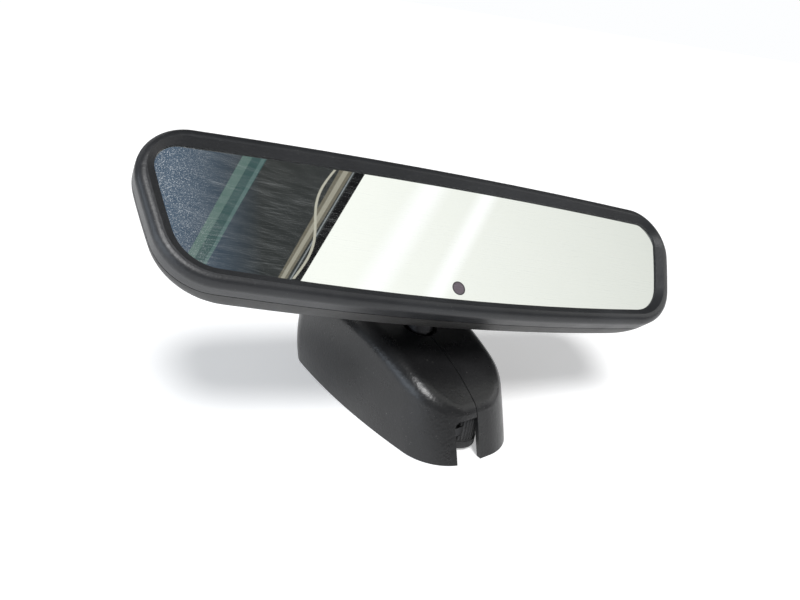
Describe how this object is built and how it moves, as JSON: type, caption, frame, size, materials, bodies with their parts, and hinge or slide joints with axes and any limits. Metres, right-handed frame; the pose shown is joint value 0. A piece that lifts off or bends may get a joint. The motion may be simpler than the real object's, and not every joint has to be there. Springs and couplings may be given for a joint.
{
  "type": "interior rearview mirror",
  "caption": "Self-dimming interior rearview mirror: framed glass in a rounded head, carried by a ball joint on a windscreen foot under a two-part cover.",
  "frame": {"origin": "centre of the windscreen-button bore on the rim plane of the foot", "axes": "+Z away from the windscreen along the pivot arm, +X across the foot and roughly along the glass, -Y towards the notch end of the foot"},
  "size_m": [0.2387, 0.1246, 0.1182],
  "materials": {
    "bezel_black": "fine satin grain",
    "housing_black": "fine satin grain",
    "cover_black": "fine satin grain",
    "clear_glass": "polished",
    "gel": "clear gel",
    "mirror_coat": "silvered glass",
    "seal_grey": "cured sealant",
    "sensor_dark": "dark purplish filter",
    "spring_steel": "bright strip",
    "foam_black": "foam tape",
    "carrier_plastic": "moulded",
    "board_green": "solder mask",
    "chip_black": "moulded package",
    "capacitor_can": "drawn can",
    "clear_plastic": "clear moulding",
    "connector_ivory": "moulded",
    "joint_plastic": "glass-filled moulding",
    "liner_white": "low-friction moulding",
    "arm_steel": "turned and blackened",
    "zinc_screw": "zinc plated",
    "die_cast": "die-cast zinc, as cast",
    "grommet_rubber": "moulded rubber",
    "connector_black": "moulded",
    "terminal_brass": "tin-free strip"
  },
  "bodies": {
    "foot": {"pivot_arm": "arm_steel", "arm_screws": "zinc_screw", "foot_base": "die_cast", "button_spring": "spring_steel", "spring_rivets": "zinc_screw", "foot_cover_left": "cover_black", "foot_cover_right": "cover_black", "cable_grommet": "grommet_rubber", "harness_socket": "connector_black", "harness_terminals": "terminal_brass", "cover_clips": "spring_steel"},
    "liner": {"ball_liner": "liner_white"},
    "cup": {"socket_cup": "joint_plastic"},
    "head": {"bezel_frame": "bezel_black", "rear_housing": "housing_black", "front_glass": "clear_glass", "dimming_gel": "gel", "rear_glass": "mirror_coat", "cell_seal": "seal_grey", "sensor_window": "sensor_dark", "upper_bus_clip": "spring_steel", "lower_bus_clip": "spring_steel", "foam_pad": "foam_black", "carrier_plate": "carrier_plastic", "circuit_board": "board_green", "board_screws": "zinc_screw", "controller_chips": "chip_black", "board_capacitors": "capacitor_can", "light_pipe": "clear_plastic", "glare_sensor": "chip_black", "ambient_sensor": "chip_black", "ambient_light_guide": "clear_plastic", "board_connector": "connector_ivory", "socket_retainer": "joint_plastic", "retainer_screws": "zinc_screw", "pressure_spring": "spring_steel"}
  },
  "joints": [
    {"name": "head_swivel", "type": "hinge", "parent": "foot", "child": "liner", "pos_m": [0, 0, 0.0656], "axis": [0, 0, 1], "range_deg": [-12, 28]},
    {"name": "head_tilt", "type": "hinge", "parent": "liner", "child": "cup", "pos_m": [0, 0, 0.0656], "axis": [0.9898, -0.1426, 0], "range_deg": [-15, 13]},
    {"name": "head_roll", "type": "hinge", "parent": "cup", "child": "head", "pos_m": [0, 0, 0.0656], "axis": [0.1008, 0.6991, -0.7079], "range_deg": [-22, 3]}
  ]
}
